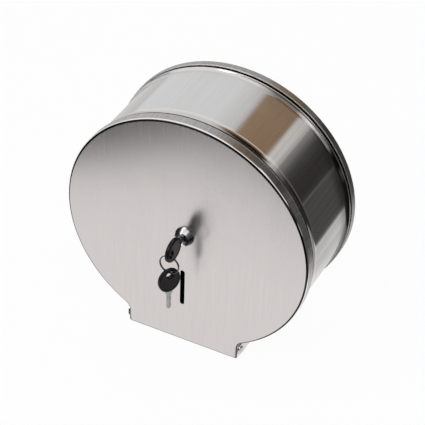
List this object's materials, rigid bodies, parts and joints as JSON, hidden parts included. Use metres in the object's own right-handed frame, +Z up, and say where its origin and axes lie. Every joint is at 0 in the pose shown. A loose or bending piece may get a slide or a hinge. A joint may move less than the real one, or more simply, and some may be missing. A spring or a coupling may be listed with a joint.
{
  "type": "jumbo toilet roll dispenser",
  "caption": "Round wall dispenser for a jumbo toilet roll: steel drum, chin cover hinged at the bottom, cam lock with keys, open serrated paper exit.",
  "frame": {"origin": "centre of the four wall screws, on the wall face of the back pan", "axes": "+X right seen from the front, +Y into the wall, +Z up"},
  "size_m": [0.27, 0.1607, 0.2753],
  "materials": {
    "pan_steel": "fine brushed stainless steel",
    "drum_steel": "stainless steel brushed along its length, half bright",
    "cover_steel": "stainless steel brushed top to bottom",
    "cheek_steel": "fine brushed stainless steel",
    "blade_steel": "bright cut stainless strip",
    "rivet_steel": "bright stainless heads",
    "spindle_steel": "turned bright steel",
    "zinc_steel": "bright zinc plate",
    "hub_plastic": "black moulded plastic",
    "lock_chrome": "polished chrome plate",
    "plug_nickel": "bright nickel plate",
    "cam_steel": "zinc plated steel",
    "bow_plastic": "black satin plastic",
    "key_nickel": "nickel plated brass",
    "ring_steel": "bright nickel plated wire"
  },
  "bodies": {
    "housing": {"back_pan": "pan_steel", "drum_band": "drum_steel", "right_cheek": "cheek_steel", "left_cheek": "cheek_steel", "right_tear_blade": "blade_steel", "left_tear_blade": "blade_steel", "blade_rivets": "rivet_steel", "lap_rivets": "rivet_steel", "hinge_pins": "rivet_steel", "spindle_base": "spindle_steel", "base_rivets": "rivet_steel", "spindle": "spindle_steel", "thrust_washer": "zinc_steel", "hub_washer": "zinc_steel", "retaining_clip": "zinc_steel", "lock_catch": "zinc_steel", "catch_screw": "zinc_steel"},
    "hub": {"roll_hub": "hub_plastic"},
    "cover": {"front_cover": "cover_steel", "lock_housing": "lock_chrome", "lock_washer": "zinc_steel", "lock_nut": "zinc_steel"},
    "lock_core": {"lock_plug": "plug_nickel", "lock_cam": "cam_steel", "cam_washer": "zinc_steel", "cam_nut": "zinc_steel"},
    "key": {"key_bow": "bow_plastic", "key_steel": "key_nickel"},
    "ring": {"key_ring": "ring_steel"},
    "spare_key": {"spare_key_bow": "bow_plastic", "spare_key_steel": "key_nickel"}
  },
  "joints": [
    {"name": "cover_hinge", "type": "hinge", "parent": "housing", "child": "cover", "pos_m": [0, -0.1105, -0.13], "axis": [1, 0, 0], "range_deg": [0, 100]},
    {"name": "hub_spin", "type": "hinge", "parent": "housing", "child": "hub", "pos_m": [0, -0.05, 0], "axis": [0, 1, 0], "continuous": true},
    {"name": "lock_turn", "type": "hinge", "parent": "cover", "child": "lock_core", "pos_m": [0, -0.1175, 0], "axis": [0, 1, 0], "range_deg": [0, 90]},
    {"name": "key_pull", "type": "slide", "parent": "lock_core", "child": "key", "axis": [0, -1, 0], "range_m": [0, 0.04]},
    {"name": "ring_swing", "type": "hinge", "parent": "key", "child": "ring", "pos_m": [0, -0.1495, -0.0029], "axis": [1, 0, 0], "range_deg": [-30, 10]},
    {"name": "spare_key_swing", "type": "hinge", "parent": "ring", "child": "spare_key", "pos_m": [0, -0.1495, -0.0237], "axis": [1, 0, 0], "range_deg": [-25, 15]}
  ]
}
